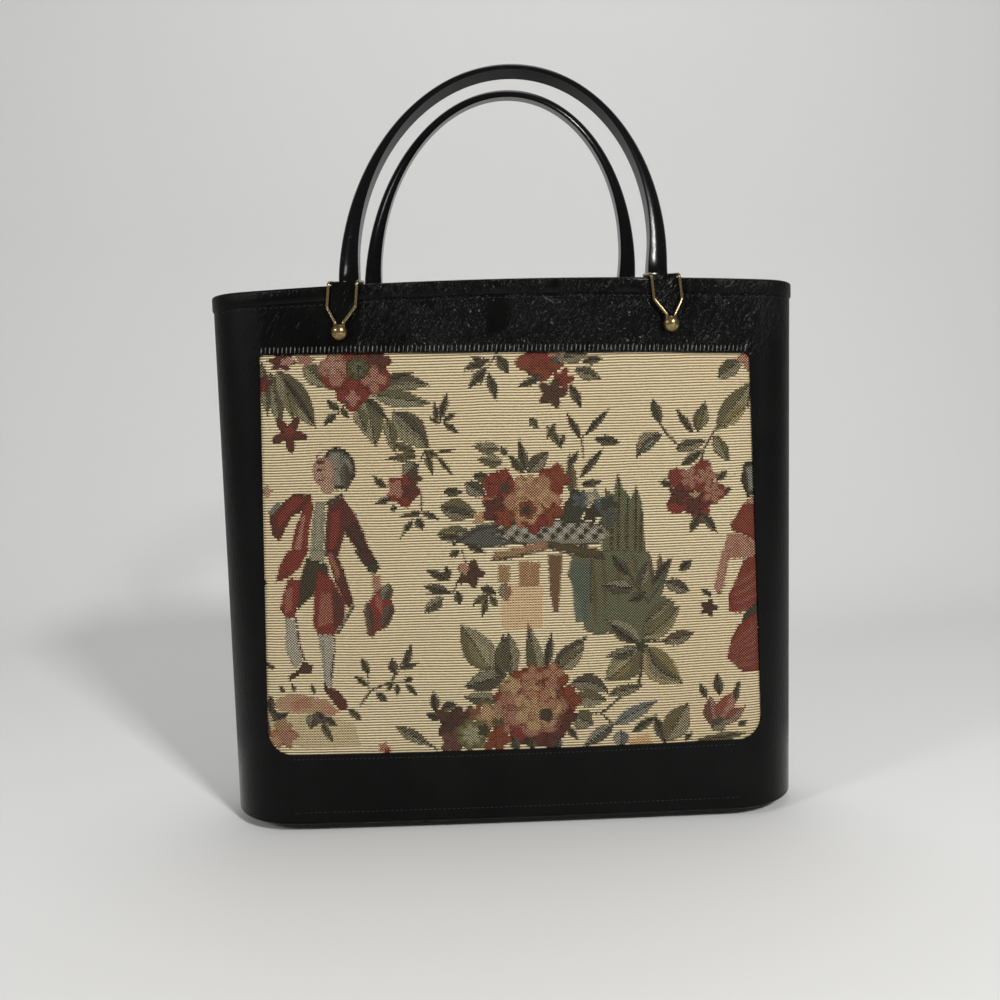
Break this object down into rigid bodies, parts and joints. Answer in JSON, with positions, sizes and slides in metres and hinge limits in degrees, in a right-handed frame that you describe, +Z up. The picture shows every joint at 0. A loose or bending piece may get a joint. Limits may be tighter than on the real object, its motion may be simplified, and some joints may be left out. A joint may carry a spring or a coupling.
{
  "type": "handbag",
  "caption": "Stiff structured handbag with a woven panel in a leather window and rigid handles that swing on wire yokes.",
  "frame": {"origin": "centre of the footprint, on the surface that the feet stand on", "axes": "+Z up through the open top, +X to the right across the front, front faces -Y"},
  "size_m": [0.3236, 0.1136, 0.4154],
  "materials": {
    "black_leather": "glossy, crinkled grain",
    "tapestry": "ribbed weave",
    "board": "plain fibre board",
    "handle": "polished",
    "brass": "polished",
    "lining": "smooth twill",
    "olive_leaves": "woven",
    "blue_leaves": "woven",
    "red_blossoms": "woven",
    "orange_roses": "woven",
    "linen": "woven",
    "plinth": "woven",
    "bowl": "woven",
    "gentleman": "woven",
    "lady": "woven"
  },
  "bodies": {
    "bag": {"back_blue_leaves": "blue_leaves", "back_board": "board", "back_bowl": "bowl", "back_gentleman": "gentleman", "back_lady": "lady", "back_leather": "black_leather", "back_left_foot": "brass", "back_left_rivet": "brass", "back_left_tab": "black_leather", "back_left_yoke": "brass", "back_linen": "linen", "back_olive_leaves": "olive_leaves", "back_orange_roses": "orange_roses", "back_plinth": "plinth", "back_red_blossoms": "red_blossoms", "back_right_foot": "brass", "back_right_rivet": "brass", "back_right_tab": "black_leather", "back_right_yoke": "brass", "back_tapestry": "tapestry", "base_board": "board", "base_leather": "black_leather", "burrs": "brass", "front_blue_leaves": "blue_leaves", "front_board": "board", "front_bowl": "bowl", "front_gentleman": "gentleman", "front_lady": "lady", "front_leather": "black_leather", "front_left_foot": "brass", "front_left_rivet": "brass", "front_left_tab": "black_leather", "front_left_yoke": "brass", "front_linen": "linen", "front_olive_leaves": "olive_leaves", "front_orange_roses": "orange_roses", "front_plinth": "plinth", "front_red_blossoms": "red_blossoms", "front_right_foot": "brass", "front_right_rivet": "brass", "front_right_tab": "black_leather", "front_right_yoke": "brass", "front_tapestry": "tapestry", "inner_pocket": "lining", "left_board": "board", "lining": "lining", "right_board": "board", "rim_binding": "black_leather", "washers": "brass"},
    "front_handle": {"front_handle": "handle"},
    "back_handle": {"back_handle": "handle"}
  },
  "joints": [
    {"name": "front_handle_hinge", "type": "hinge", "parent": "bag", "child": "front_handle", "pos_m": [0, -0.0385, 0.2972], "axis": [1, 0, 0], "range_deg": [-6.4, 64]},
    {"name": "back_handle_hinge", "type": "hinge", "parent": "bag", "child": "back_handle", "pos_m": [0, 0.0385, 0.2972], "axis": [-1, 0, 0], "range_deg": [-10.4, 60]}
  ]
}
